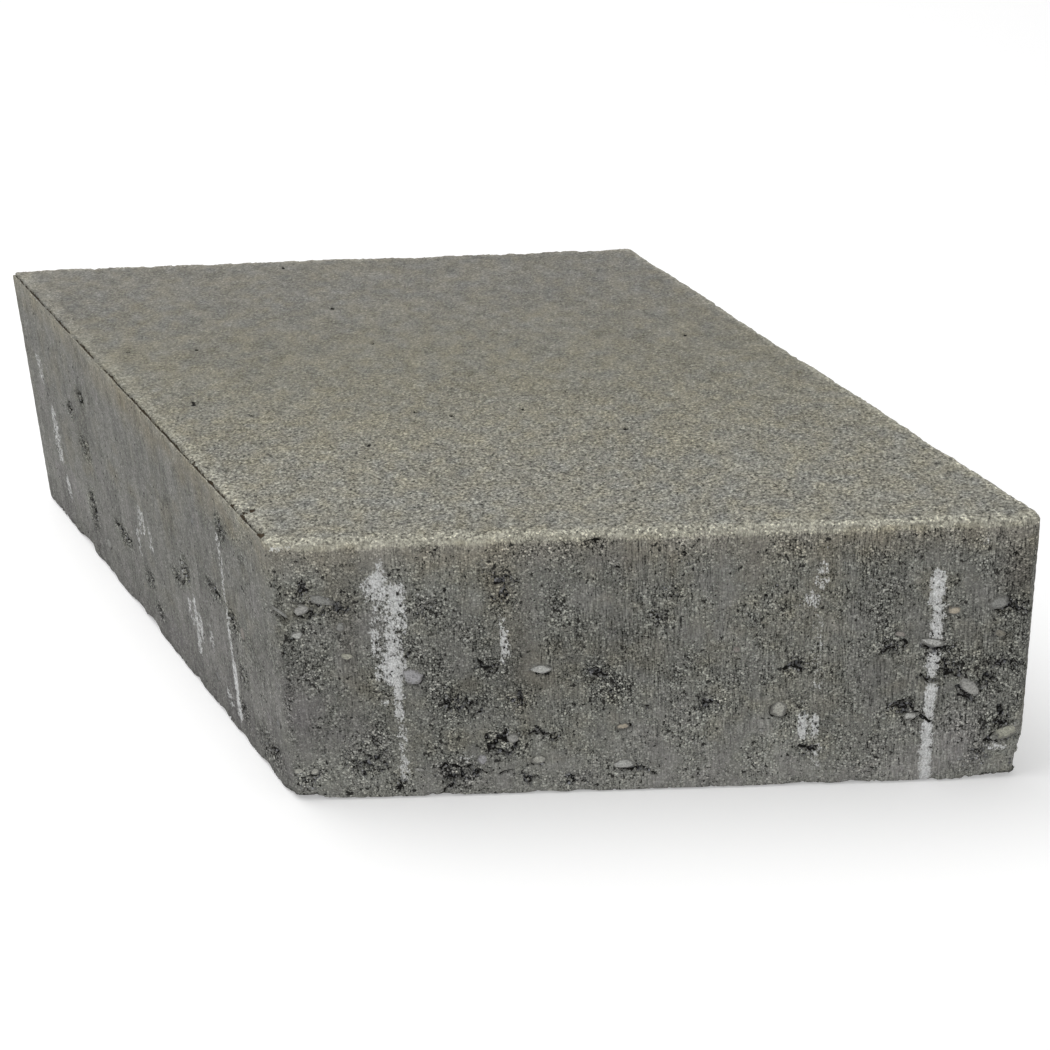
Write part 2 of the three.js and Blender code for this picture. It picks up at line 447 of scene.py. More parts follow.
# Broad patches of tone: along, up, half width, half height, how much lighter, and how lilac.
FRONT_TONES = {
    "dark, left of middle": (53.0, 39.0, 15.0, 13.0, -0.18, 0.0),
    "dark, middle": (84.0, 46.0, 14.0, 13.0, -0.22, 0.0),
    "dark, left edge": (2.0, 48.0, 8.0, 9.0, -0.14, 0.0),
    "dark, right edge": (186.0, 48.0, 12.0, 22.0, -0.16, 0.0),
    "dark, low left": (46.0, 9.0, 17.0, 11.0, -0.20, 0.0),
    "light, low middle": (103.0, 22.0, 26.0, 14.0, 0.12, 0.2),
    "light, upper left": (8.0, 70.0, 12.0, 8.0, 0.08, 0.0),
    "lilac, left edge": (2.0, 28.0, 9.0, 16.0, -0.08, 0.9),
    "lilac, low left": (15.0, 22.0, 13.0, 12.0, -0.12, 0.5),
    "light, high left": (22.0, 76.0, 44.0, 7.0, 0.10, 0.0),
    "light, round the honeycomb": (49.0, 68.0, 13.0, 10.0, 0.14, 0.0),
    "light, low right of middle": (127.0, 19.0, 10.0, 13.0, 0.19, 0.1),
    "light, right of middle": (123.0, 45.0, 8.0, 7.0, 0.08, 0.0),
    "dark, by the long streak": (151.0, 35.0, 9.0, 8.0, -0.12, 0.0),
    "dark, upper right": (188.0, 63.0, 9.0, 9.0, -0.12, 0.0),
    "light, acute corner": (190.0, 4.0, 10.0, 10.0, 0.20, 0.0),
    "lilac, low right": (172.0, 14.0, 13.0, 12.0, 0.06, 0.9),
    "lilac, foot": (96.0, 4.0, 90.0, 7.0, 0.05, 0.5),
}
LEFT_TONES = {
    "lilac, near": (44.0, 18.0, 24.0, 20.0, 0.0, 0.7),
    "lilac, corner": (8.0, 26.0, 12.0, 22.0, 0.0, 0.8),
    "lilac, foot": (90.0, 4.0, 100.0, 9.0, 0.0, 0.6),
    "dark, near": (20.0, 44.0, 30.0, 10.0, -0.16, 0.0),
    "light, near and high": (12.0, 77.0, 24.0, 7.0, 0.12, 0.0),
    "dark, far": (138.0, 50.0, 9.0, 12.0, -0.18, 0.0),
    "light, far and low": (150.0, 20.0, 9.0, 14.0, 0.12, 0.0),
    "light, far and high": (162.0, 58.0, 9.0, 12.0, 0.12, 0.0),
    "light, far": (158.0, 20.0, 16.0, 20.0, 0.10, 0.3),
    "light, far end": (175.0, 30.0, 10.0, 30.0, 0.06, 0.4),
    "dark, middle": (70.0, 45.0, 20.0, 12.0, -0.06, 0.0),
    "dark, low": (105.0, 20.0, 16.0, 9.0, -0.06, 0.0),
}

# A crevice inside the left edge of the wearing face, behind the film of paste that the mould drew up.
CREVICE_INSET = 0.85
CREVICE_HALF_WIDTH = 0.5
CREVICE_DEPTH = 1.2
# Pits where it breaks up, by the blunt corner: millimetres along the left side and inwards, and the radius.
CREVICE_PITS = {
    "nearest": (5.6, 0.9, 1.5),
    "second": (15.8, 0.9, 1.0),
    "branch": (16.9, 2.5, 0.9),
    "branch's end": (17.2, 4.1, 0.8),
    "third": (22.6, 0.9, 1.2),
    "fourth": (36.0, 0.9, 0.9),
    "fifth": (48.0, 0.9, 1.1),
}
# Pits in the wearing face: X, Y and radius.
FACE_PITS = {
    "far": (-41.0, 47.9, 0.9),
    "left": (-74.7, -8.7, 1.2),
    "left of middle": (-58.1, -16.2, 0.9),
    "back": (-58.1, 76.9, 0.8),
    "middle": (-28.0, 24.2, 0.8),
    "near middle": (-4.0, -20.1, 0.9),
    "near, left": (-13.7, -17.7, 0.7),
    "near": (-25.6, -34.9, 0.8),
    "right": (42.0, -31.0, 0.8),
    "far right": (61.0, 22.0, 0.7),
}

# Pebbles laid bare in a side: along, up, half length, half height, tilt in degrees, and colour.
BRIGHT = (0.60, 0.60, 0.57)
WHITE = (0.46, 0.455, 0.43)
PALE = (0.35, 0.35, 0.33)
GREY = (0.25, 0.252, 0.247)
LILAC = (0.46, 0.455, 0.465)
CREAM = (0.54, 0.535, 0.48)
STRAW = (0.49, 0.485, 0.405)
BEIGE = (0.42, 0.39, 0.335)
OCHRE = (0.56, 0.50, 0.40)
DUN = (0.30, 0.285, 0.24)
ROSE = (0.37, 0.34, 0.31)
FRONT_PEBBLES = {
    "by the wide streak": (33.4, 38.8, 2.6, 2.2, 0, LILAC),
    "white, left": (7.1, 60.1, 1.9, 1.3, 25, WHITE),
    "grey, left": (12.1, 62.9, 2.9, 1.4, -15, PALE),
    "white below": (5.3, 52.5, 1.4, 1.2, 10, BRIGHT),
    "sliver": (1.6, 59.9, 2.4, 0.4, -46, PALE),
    "small, left": (16.4, 54.6, 1.0, 1.4, 0, PALE),
    "yellow, left": (17.4, 45.7, 1.5, 1.0, 0, STRAW),
    "beige on the long streak": (164.7, 44.2, 2.8, 1.1, -12, BRIGHT),
    "tilted, right": (175.0, 29.9, 3.2, 1.5, -50, WHITE),
    "long, by the edge": (185.0, 15.6, 3.0, 1.6, 24, STRAW),
    "grey, upper right": (180.9, 55.6, 2.3, 1.8, 15, PALE),
    "orange": (169.8, 53.6, 1.3, 1.0, 0, OCHRE),
    "yellow, right": (181.6, 46.2, 1.5, 1.0, 0, DUN),
    "small beige": (156.7, 47.0, 1.2, 0.8, -20, ROSE),
    "cream": (126.6, 24.9, 2.3, 2.1, 0, CREAM),
    "pink, small": (115.6, 44.0, 0.9, 0.9, 0, ROSE),
    "flat, upper": (66.2, 39.8, 2.4, 1.3, 0, BRIGHT),
    "flat, low": (86.7, 9.0, 2.4, 1.4, 5, BRIGHT),
    "orange and white": (86.6, 21.2, 1.6, 0.7, 8, OCHRE),
    "faint, low": (64.6, 11.3, 2.0, 1.2, 8, CREAM),
    "in the gap": (58.1, 18.4, 1.3, 1.4, -20, WHITE),
    "low, round": (49.8, 11.9, 1.2, 1.5, 0, LILAC),
    "corner": (1.9, 9.9, 1.1, 0.9, 0, CREAM),
    "by the corner": (6.1, 9.7, 1.2, 1.0, 35, CREAM),
    "low by the drip": (33.3, 9.2, 1.3, 0.5, -15, WHITE),
    "speck": (36.5, 63.7, 0.45, 0.4, 0, BRIGHT),
    "right, low": (160.2, 21.4, 1.7, 0.9, 5, BRIGHT),
    "left of the blotch": (122.1, 18.4, 0.8, 0.5, 0, PALE),
}
LEFT_PEBBLES = {
    "pink": (24.5, 39.5, 1.4, 1.9, 20, ROSE),
    "by the corner": (6.0, 22.0, 1.3, 1.0, 0, GREY),
    "low": (48.0, 12.0, 1.6, 1.1, 10, GREY),
    "low, far": (131.0, 12.0, 2.2, 1.4, -20, PALE),
    "high": (52.0, 60.0, 1.2, 0.9, 0, GREY),
}
PEBBLE_PROUD_DEPTH = 0.12
PEBBLE_SWELL = 1.25  # the tables measure what shows of each pebble, and paste covers its rim

HIDDEN_POCKETS = 22
HIDDEN_PEBBLES = 28
HIDDEN_COLORS = (WHITE, PALE, GREY, GREY, LILAC, BEIGE, STRAW)


def hidden_marks(draw):
    """Pockets and pebbles of a side that is finished like the others, at random places."""
    pockets, pebbles = {}, {}
    for number in range(HIDDEN_POCKETS):
        half_width = 1.5 + 4.0 * draw.random() ** 1.5
        half_height = half_width * (0.4 + 0.6 * draw.random())
        up = 4 + 68 * draw.random() ** 1.4
        along = 6 + 180 * draw.random()
        pockets[number] = (along, up, half_width, half_height, 1.0 + 0.8 * draw.random())
    for number in range(HIDDEN_PEBBLES):
        half_length = 0.8 + 1.8 * draw.random() ** 2
        half_height = half_length * (0.45 + 0.45 * draw.random())
        color = HIDDEN_COLORS[draw.integers(len(HIDDEN_COLORS))]
        up = 6 + 62 * draw.random() ** 1.3
        along = 6 + 180 * draw.random()
        pebbles[number] = (along, up, half_length, half_height, draw.uniform(-40, 40), color)
    return {"pockets": pockets, "pebbles": pebbles}


mark_draw = np.random.default_rng(7)
MARKS = {
    "front": {
        "pockets": FRONT_POCKETS,
        "cracks": FRONT_CRACKS,
        "lime": FRONT_LIME,
        "stains": FRONT_STAINS,
        "tones": FRONT_TONES,
        "pebbles": FRONT_PEBBLES,
    },
    "left": {
        "pockets": LEFT_POCKETS,
        "cracks": LEFT_CRACKS,
        "lime": LEFT_LIME,
        "stains": LEFT_STAINS,
        "tones": LEFT_TONES,
        "pebbles": LEFT_PEBBLES,
    },
    "right": hidden_marks(mark_draw),
    "back": hidden_marks(mark_draw),
}


def strongest(amounts):
    return np.maximum.reduce(amounts)


def summed(amounts):
    return np.clip(sum(amounts), -1, 1)


class Skin:
    """The shell's points: which face each one belongs to, and where on the faces it lies."""

    def __init__(self, places, normals):
        self.places = places
        self.normals = normals
        self.height = places[:, 2]
        self.drop = THICKNESS - self.height
        self.top = ramp(0.35, 0.85, normals[:, 2])
        self.bed = ramp(0.35, 0.85, -normals[:, 2])
        self.side = 1 - self.top - self.bed
        self.share, self.along, self.inset = {}, {}, {}
        for side, (corner, along, outward) in SIDE_FRAMES.items():
            from_corner = places[:, :2] - corner
            self.along[side] = from_corner @ along
            self.inset[side] = -from_corner @ outward
            self.share[side] = ramp(0.7, 0.95, normals[:, :2] @ outward)
        self.on_front, self.on_left = self.share["front"], self.share["left"]
        self.right_half = self.on_front * ramp(60, 95, self.along["front"])
        self.edge_inset = np.minimum.reduce(list(self.inset.values()))
        self.crumbs = fractal(places, 1.7, 31, octaves=2, gain=0.8)
        noises = {
            "crumbs": self.crumbs,
            "seams": np.clip(1 - 5 * np.abs(self.side_noise(2.3, 35, 2, 0.6)), -1, 1),
            "waver": 0.6 * self.side_noise((5, 5, 3.5), 59, 3, 0.8),
            "breaks": 1.6 * self.side_noise(1.3, 37, 2, 0.7),
        }
        self.patches = {side: Patch(self, side, noises) for side in SIDE_FRAMES}

    def noise(self, where, size, seed, octaves=3, gain=0.5):
        """Noise at the points where it counts, and 0 elsewhere."""
        field = np.zeros(len(self.places))
        field[where] = fractal(self.places[where], size, seed, octaves, gain)
        return field

    def side_noise(self, size, seed, octaves=3, gain=0.5):
        return self.noise(self.side > 0, size, seed, octaves, gain)

    def top_noise(self, size, seed, octaves=3, gain=0.5):
        return self.noise(self.top > 0, size, seed, octaves, gain)

    def marked(self, kind, mark, join=strongest):
        """What all the marks of a kind do to the whole stone, from what each does on its own side."""
        whole = np.zeros(len(self.places))
        for side, patch in self.patches.items():
            amounts = [mark(patch, *row) for row in MARKS[side].get(kind, {}).values()]
            values = join([np.zeros(len(patch.up))] + amounts) * patch.share
            stronger = np.abs(values) > np.abs(whole[patch.points])
            whole[patch.points[stronger]] = values[stronger]
        return whole


class Patch:
    """One side's points, in the coordinates of its marks, and the noises that roughen those marks."""

    def __init__(self, skin, side, noises):
        self.points = np.flatnonzero(skin.share[side] > 0)
        self.share = skin.share[side][self.points]
        self.along = skin.along[side][self.points]
        self.up = skin.height[self.points]
        for name, noise in noises.items():
            setattr(self, name, noise[self.points])

    def distance(self, along, up, half_width, half_height):
        return np.hypot((self.along - along) / half_width, (self.up - up) / half_height)

    def beside(self, along, half_width):
        """Distance from an upright line that wavers, as a share of a mark's half width."""
        return np.abs(self.along + self.waver - along) / half_width

    def turned(self, along, up, tilt):
        """Each point's distances from a place, along and across a direction tilted by so many degrees."""
        turn = math.radians(tilt)
        across = (self.along - along) * math.cos(turn) + (self.up - up) * math.sin(turn)
        rise = (self.up - up) * math.cos(turn) - (self.along - along) * math.sin(turn)
        return across, rise

    def from_line(self, line):
        """Distance of each point from a line that bends at the given places."""
        nearest = np.full(len(self.up), np.inf)
        for (along, up), (next_along, next_up) in zip(line[:-1], line[1:]):
            run = next_along - along
            rise = next_up - up
            share = ((self.along - along) * run + (self.up - up) * rise) / (run ** 2 + rise ** 2)
            share = np.clip(share, 0, 1)
            away = np.hypot(self.along - along - share * run, self.up - up - share * rise)
            nearest = np.minimum(nearest, away)
        return nearest


# What one mark of each kind does to each point of a patch.


def pocket(patch, along, up, half_width, half_height, deepest):
    """Depth of a honeycombed pocket: cracks between clumps of grains, that crowd towards its middle."""
    nearness = ramp(1.6, 0.2, patch.distance(along, up, half_width, half_height))
    opened = nearness - 0.85 + 0.60 * patch.seams + 0.40 * patch.crumbs
    return ramp(0.0, 0.45, opened) * deepest * (nearness > 0)


def near_pocket(patch, along, up, half_width, half_height, _):
    """How near each point lies to a pocket, for the open texture around it."""
    return ramp(1.3, 0.4, patch.distance(along, up, half_width + 2, half_height + 2))


def crack(patch, line, half_width, deepest):
    """Depth of a crack, which closes up here and there."""
    away = patch.from_line(line) + 0.45 * patch.crumbs
    depth = deepest * ramp(half_width + 0.20, 0.3 * half_width, away)
    return depth * ramp(-0.9, -0.1, patch.breaks)


def moat(patch, along, up, half_length, half_height, tilt, _):
    """Depth of the broken gap round a pebble, deepest below it."""
    across, rise = patch.turned(along, up, tilt)
    distance = np.hypot(across / (half_length + 0.6), rise / (half_height + 0.6))
    gap = ramp(1.16, 0.98, distance) * ramp(0.8, 1.8, half_length)
    gap *= ramp(0.1, 0.5, patch.crumbs - 0.45 * np.clip(rise / half_height, -1, 1))
    return 1.1 * gap


def seat(patch, along, up, half_length, half_height, tilt, _):
    """Depth of the hollow that a pebble sits in, so that its crown shows."""
    across, rise = patch.turned(along, up, tilt)
    distance = np.hypot(across / half_length, rise / half_height)
    return 0.42 * ramp(1.15, 0.95, distance + 0.45 * patch.crumbs)


def lime_run(patch, along, top, foot, half_width, strength):
    """How much lime lies on each point, before it is broken up."""
    end = patch.up + 1.2 * patch.crumbs
    within = ramp(top + 1.5, top - 1.5, end) * ramp(foot - 1.5, foot + 1.5, end)
    return strength * within * ramp(1.8, 0.35, patch.beside(along, half_width))


def stain(patch, along, foot, half_width, strength):
    across = ramp(1.8, 0.3, patch.beside(along, half_width))
    return strength * across * ramp(foot - 4, foot + 5, patch.up)


def lightness(patch, along, up, half_width, half_height, lighter, _):
    return lighter * ramp(1.4, 0.1, patch.distance(along, up, half_width, half_height))


def lilacness(patch, along, up, half_width, half_height, _, lilac):
    return lilac * ramp(1.4, 0.1, patch.distance(along, up, half_width, half_height))


def crevice(skin):
    """How far open the crevice behind the left edge of the wearing face is."""
    inset = skin.inset["left"]
    on_top = (skin.top > 0) & (inset < 4)
    line = CREVICE_INSET + 0.25 * skin.noise(on_top, 5, 41)
    width = CREVICE_HALF_WIDTH * (1 + 0.7 * skin.noise(on_top, 2.2, 42, 2))
    opened = ramp(1.0, 0.35, np.abs(inset - line) / np.maximum(width, 0.1))
    opened *= ramp(-0.7, -0.1, skin.noise(on_top, 4, 43)) * on_top
    along = skin.along["left"]
    return opened * ramp(4, 9, along) * ramp(SIDE - 1, SIDE - 4, along)


def pits(skin, first, second, table, rim, raggedness):
    """Open pits at the places of a table, given in two coordinates of the points."""
    opened = np.zeros(len(first))
    for place, other_place, radius in table.values():
        distance = np.hypot(first - place, second - other_place) / radius
        opened = np.maximum(opened, ramp(rim, 0.4, distance + raggedness * skin.crumbs))
    return opened * skin.top


def face_pits(skin):
    """Open pits in the wearing face, and those beside the crevice."""
    x, y, _ = skin.places.T
    along, inwards = skin.along["left"], skin.inset["left"]
    scattered = pits(skin, x, y, FACE_PITS, 1.3, 0.4)
    return np.maximum(scattered, pits(skin, along, inwards, CREVICE_PITS, 1.4, 0.7))


def bed_chips(skin):
    """Depth of the chips out of the bed's edge."""
    chips = np.zeros(len(skin.places))
    for along_front, along_left, reach, deepest in BED_CHIPS.values():
        centre = BLUNT_CORNER + along_front * ALONG + along_left * FLANK
        away = np.hypot(*(skin.places[:, :2] - centre).T)
        distance = np.hypot(away, 1.6 * skin.height) / reach
        chips = np.maximum(chips, deepest * ramp(1.0, 0.35, distance + 0.3 * skin.crumbs))
    return chips


def worn_edges(skin):
    """How deep the arris, the bed's edge and the sharp front corner are worn and chipped."""
    near_bed = skin.height < 6
    worn = ramp(4.0, 0.5, skin.drop) * (1 - 0.5 * skin.top) * (1 - skin.on_left)
    worn *= ramp(5.0, 1.0, skin.edge_inset)
    near_top = skin.height > THICKNESS - 6
    arris = 0.75 * worn * ramp(-0.1, 0.8, skin.noise(near_top, 2.2, 13, 3, 0.8))
    bed_edge = ramp(3.5, 0.0, skin.height) * ramp(3.5, 0.5, skin.edge_inset)
    bed_edge = bed_edge * (0.6 + 0.5 * skin.on_left)
    teeth = 1.1 * ramp(0.05, 0.45, skin.noise(near_bed, 2.3, 15, 3, 0.9))
    waves = 0.6 * ramp(0.1, 0.7, skin.noise(near_bed, 9, 16, 2))
    from_corner = np.hypot(skin.along["front"] - SIDE, skin.inset["front"])
    upright = ramp(3.4, 0.4, from_corner) * (1 - skin.top)
    jags = ramp(-0.2, 0.7, skin.noise(from_corner < 4, (1.6, 1.6, 2.4), 19, 3, 0.9))
    return arris + bed_edge * (teeth + waves) + 1.1 * upright * jags + bed_chips(skin)


def grittiness(skin, near):
    """How bare the mould laid the sand: in patches, round the pockets, and less on the left side."""
    grit = 0.74 + 0.75 * skin.side_noise((8, 8, 10), 57, 3, 0.7) + 0.35 * near
    on_left = skin.on_left
    far_left = on_left * ramp(6, 60, skin.along["left"])
    smoothed = np.maximum(0.32 * on_left + 0.38 * far_left, 0.10 * skin.right_half)
    return np.clip(grit * (1 - smoothed * (1 - 0.85 * near)), 0.4, 1.4)


def relief(skin):
    """Depth that each point is cut back, the fields that the finish reads, and the weights for the sand."""
    holes = np.maximum.reduce([
        skin.marked("pockets", pocket),
        skin.marked("cracks", crack),
        skin.marked("pebbles", moat),
    ])
    seated = skin.marked("pebbles", seat)
    near = skin.marked("pockets", near_pocket)
    grit = grittiness(skin, near)

    sway = 0.07 * (1 + fractal(skin.places, 45, 1))
    by_edge = 0.4 + 0.6 * ramp(12, 3, skin.edge_inset)
    top_grain = 0.5 * by_edge * np.maximum(skin.top_noise(2.2, 3, 3, 0.9) + 0.1, -0.3)
    top_pores = 0.9 * ramp(0.72, 0.90, skin.top_noise(3, 5, 2))
    striations = 0.08 * (1 + skin.side_noise((1.6, 1.6, 22), 7, 3, 0.7))
    side_pores = ramp(0.62, 0.95, skin.crumbs + 0.28 * (grit - 0.8))
    crumbling = 0.14 * skin.crumbs * (0.6 + grit)
    bed_waves = 0.2 * skin.bed * (1 + skin.noise(skin.bed > 0, 9, 17, 2))
    behind_film = crevice(skin)
    open_pits = face_pits(skin)

    depth = sway + skin.top * (top_grain + top_pores + 0.1) + CREVICE_DEPTH * behind_film + 0.9 * open_pits
    depth = depth + skin.side * (striations + crumbling + 0.9 * side_pores + np.maximum(holes, seated))
    depth = depth + worn_edges(skin)
    depth = depth + bed_waves
    # How open each point is; the finish paints shade into what is open.
    opened = skin.side * np.maximum(0.8 * side_pores, holes / 1.3)
    opened = opened + skin.top * top_pores + 1.2 * behind_film + open_pits
    fields = finish_fields(skin, near, grit)
    fields["pit_shade"] = np.clip(opened, 0, 1)
    fields["earth"] = np.maximum(behind_film, open_pits * (skin.inset["left"] < 6))
    return np.maximum(depth, LEAST_DEPTH), fields, sand_weight(skin, near, holes, grit)


def side_tone(skin, near, mottle, dust):
    """Uneven wetting, upright washes, dust drawn up from the ground, the patches of tone, and painted shade
    where crumbling cuts deeper.
    """
    on_left = skin.on_left
    washes = skin.side_noise((2.6, 2.6, 16), 51, 3, 0.7)
    tone = 0.16 * washes * (1 + 1.3 * on_left) + 0.08 * skin.side_noise(20, 53)
    tone += 0.40 * dust ** 1.3 * (1 - 1.5 * on_left) + 0.07 * skin.on_front
    tone += on_left * (0.12 - 0.10 * near + 0.12 * skin.side_noise((4, 4, 6.5), 52, 2, 0.7))
    tone += on_left * (0.18 * ramp(14, 1.5, skin.drop) - 0.36 * ramp(1.0, 0.1, skin.drop))
    tone += skin.marked("tones", lightness, summed) + 0.10 * mottle
    # Painted shade: darker where the crumbs noise cuts the side deeper.
    return tone - 0.15 * skin.crumbs


def face_tone(skin, mottle, nearness):
    """Tone of the wearing face: lighter towards the front, and mottled more towards the back."""
    tone = 0.03 * skin.top_noise(26, 55) + 0.03 * skin.top_noise(10, 56, 2) + 0.11 * mottle - 0.04
    return tone + (0.30 - 0.16 * nearness) * skin.top_noise(2.2, 46) + 0.27 * nearness


def coolness(skin, dust, back):
    """How lilac each point is, and below 0, how brown."""
    cool = 0.6 * skin.marked("tones", lilacness, summed) + 0.35 * skin.top * back
    cool += skin.side * (0.15 * dust + 0.8 * skin.side_noise(9, 48, gain=0.8))
    high_right = ramp(45, 76, skin.height) * ramp(60, 110, skin.along["front"])
    high_left = skin.on_left * ramp(14, 3, skin.drop)
    return cool - 0.45 * high_left - 0.15 * skin.on_front * high_right


def rim_and_highlight_strength(skin):
    """How strongly the paler face mix and its painted highlight show round the rim of the wearing face."""
    other_inset = np.minimum.reduce([skin.inset[name] for name in ("front", "back", "right")])
    rim = 0.75 * ramp(3.9, 1.5, other_inset + 0.8 * skin.crumbs)
    left_inset = skin.inset["left"]
    left_rim = 0.35 * ramp(6.5, 3.0, left_inset + 1.3 * skin.crumbs)
    return np.maximum(rim, left_rim * ramp(1.2, 2.0, left_inset)) * skin.top


def finish_fields(skin, near, grit):
    """Fields over the stone that steer its finish."""
    top = skin.top
    from_front = skin.inset["front"]
    mottle = fractal(skin.places, 5, 49, 3, 0.7)
    dust = ramp(30, 0, skin.height)
    nearness = ramp(112, 15, from_front)
    back = ramp(80, 150, from_front)
    middle = ramp(20, 60, from_front) * ramp(150, 90, from_front)
    hue = 0.45 + 0.30 * mottle + 0.50 * skin.top_noise(3.2, 47, 2) + 0.20 * middle - 0.10 * back
    scored = (0.95 + 0.55 * skin.right_half) * (1 + 1.1 * skin.side_noise((5, 5, 22), 63, 2))
    scallops = 0.7 * skin.noise(skin.height > THICKNESS - 12, 3.5, 45, 2)
    break_up = 1 + 0.45 * skin.side_noise((1.8, 1.8, 2.6), 65, 2, 0.7)
    sides = skin.side * side_tone(skin, near, mottle, dust)
    return {
        "topness": top,
        "lime": skin.marked("lime", lime_run) * break_up,
        "stain": skin.marked("stains", stain),
        "tone": 1 + sides + top * face_tone(skin, mottle, nearness),
        "cool": coolness(skin, dust, back),
        "hue": np.clip(hue, 0, 1),
        "crisp": 0.78 + 1.29 * nearness,
        "mottle": mottle,
        "grit": grit,
        "scored": np.clip(scored, 0.2, 2.2),
        "rim": rim_and_highlight_strength(skin),
        "level": skin.height + scallops,
        "banded": 1 - 0.9 * skin.on_left,
    }


SAND_SHARES = {"front": 1.0, "left": 0.8, "right": 0.4, "back": 0.35}  # how thickly the sand lies on a side


def sand_weight(skin, near, holes, grit):
    """How likely each point is to show a coarse grain of sand."""
    inside = ramp(0.3, 0.9, holes) * (1 + near)
    round_holes = near * 0.7 + 0.5 * np.clip(grit - 0.9, 0, 1)
    seen = strongest([share * skin.share[side] for side, share in SAND_SHARES.items()])
    clear = (skin.height > 2.5) & (skin.height < THICKNESS - 4)
    return (0.06 + inside + round_holes) * seen * clear


# ---------------------------------------------------------------- pieces


def mesh_object(name, places, faces, smooth=True):
    """A mesh object from places in millimetres and lists of corners."""
    mesh = bpy.data.meshes.new(name)
    mesh.from_pydata((places * MM).tolist(), [], faces.tolist())
    mesh.update()
    if smooth:
        mesh.shade_smooth()
    piece = bpy.data.objects.new(name, mesh)
    bpy.context.scene.collection.objects.link(piece)
    return piece


def paint(piece, fields):
    for name, values in fields.items():
        layer = piece.data.attributes.new(name, "FLOAT", "POINT")
        layer.data.foreach_set("value", np.asarray(values, np.float32))


def tint(piece, colors):
    layer = piece.data.attributes.new("tint", "FLOAT_COLOR", "POINT")
    colors = np.column_stack([colors, np.ones(len(colors))])
    layer.data.foreach_set("color", colors.astype(np.float32).ravel())


def thinned(piece, triangles):
    """Brings a dense mesh down to a number of triangles, keeping them where the relief needs them."""
    mesh = piece.data
    mesh.calc_loop_triangles()
    count = len(mesh.loop_triangles)
    if count <= triangles:
        return
    modifier = piece.modifiers.new("thin", "DECIMATE")
    modifier.ratio = triangles / count
    graph = bpy.context.evaluated_depsgraph_get()
    evaluated = piece.evaluated_get(graph)
    thin = bpy.data.meshes.new_from_object(evaluated, preserve_all_data_layers=True, depsgraph=graph)
    piece.modifiers.clear()
    piece.data = thin
    thin.name = mesh.name
    thin.shade_smooth()
    bpy.data.meshes.remove(mesh)


STONE_TRIANGLES = 198000


def make_stone(skin, quads, depth, fields):
    places = skin.places - skin.normals * depth[:, None]
    stone = mesh_object("concrete_stone", places, quads)
    paint(stone, fields)
    thinned(stone, STONE_TRIANGLES)
    return stone


def ball_parts(fineness):
    """Points and triangles of a ball of radius 1."""
    ball = bmesh.new()
    bmesh.ops.create_icosphere(ball, subdivisions=fineness, radius=1.0)
    points = np.array([vertex.co for vertex in ball.verts])
    faces = np.array([[vertex.index for vertex in face.verts] for face in ball.faces])
    ball.free()
    return points, faces


def pebble_parts(half_length, half_height, tilt, fineness, draw):
    """A worn pebble pressed into a side so that its flat crown shows.

    Returns its points as distances along the side, up and out, its triangles, and where paste covers it.
    """
    points, faces = ball_parts(fineness)
    shift = 100 * draw.random()
    covered = ramp(0.45, 0.98, np.hypot(points[:, 0], points[:, 1]))
    lumps = 1 + 0.22 * value_noise(points + shift, 0.8, 61) + 0.09 * value_noise(points + shift, 0.35, 62)
    points = points * lumps[:, None]
    for _ in range(5):
        facing = draw.normal(size=3) * (1.0, 1.0, 0.5)
        facing /= np.linalg.norm(facing)
        beyond = np.maximum(points @ facing - draw.uniform(0.62, 0.85), 0)
        points = points - beyond[:, None] * facing * 0.9
    half_depth = 0.7 * half_height
    crown = np.minimum(points[:, 2], 0.15 + 0.32 * points[:, 2])
    turn = math.radians(tilt)
    across = points[:, 0] * half_length * math.cos(turn) - points[:, 1] * half_height * math.sin(turn)
    rise = points[:, 0] * half_length * math.sin(turn) + points[:, 1] * half_height * math.cos(turn)
    out = (crown - crown.max()) * half_depth - PEBBLE_PROUD_DEPTH
    return np.column_stack([across, rise, out]), faces, covered


def make_pebbles():
    places, faces, tints, covers = [], [], [], []
    count = 0
    draw = np.random.default_rng(5)
    for side, (corner, along, outward) in SIDE_FRAMES.items():
        directions = np.array([[*along, 0.0], [0.0, 0.0, 1.0], [*outward, 0.0]])
        for distance, up, half_length, half_height, tilt, color in MARKS[side]["pebbles"].values():
            centre = np.array([*(corner + distance * along), up])
            fineness = 4 if side == "front" and half_length > 1.4 else 3
            points, corners, covered = pebble_parts(
                PEBBLE_SWELL * half_length, PEBBLE_SWELL * half_height, tilt, fineness, draw)
            places.append(centre + points @ directions)
            faces.append(corners + count)
            tints.append(np.tile(color, (len(points), 1)))
            covers.append(covered)
            count += len(points)
    pebbles = mesh_object("pebbles", np.concatenate(places), np.concatenate(faces))
    tint(pebbles, np.concatenate(tints))
    paint(pebbles, {"cover": np.concatenate(covers)})
    return pebbles


SAND_GRAINS = 9200
SAND_FARTHEST = 1.25  # how far from its middle a grain reaches, for a radius of 1
SAND_COVER = 0.06  # least depth of a grain below the face that the mould left
SAND_WARMTH = np.array([0.03, 0.01, -0.06])  # share that the warmest grain gains in red, green and blue


def turned(points, draw):
    """Each row of points turned its own random way."""
    w, x, y, z = draw.normal(size=(4, len(points)))
    length = np.sqrt(w * w + x * x + y * y + z * z)
    w, x, y, z = w / length, x / length, y / length, z / length
    rows = np.array([
        [1 - 2 * (y * y + z * z), 2 * (x * y - w * z), 2 * (x * z + w * y)],
        [2 * (x * y + w * z), 1 - 2 * (x * x + z * z), 2 * (y * z - w * x)],
        [2 * (x * z - w * y), 2 * (y * z + w * x), 1 - 2 * (x * x + y * y)],
    ])
    return np.einsum("ijn,nkj->nki", rows, points)


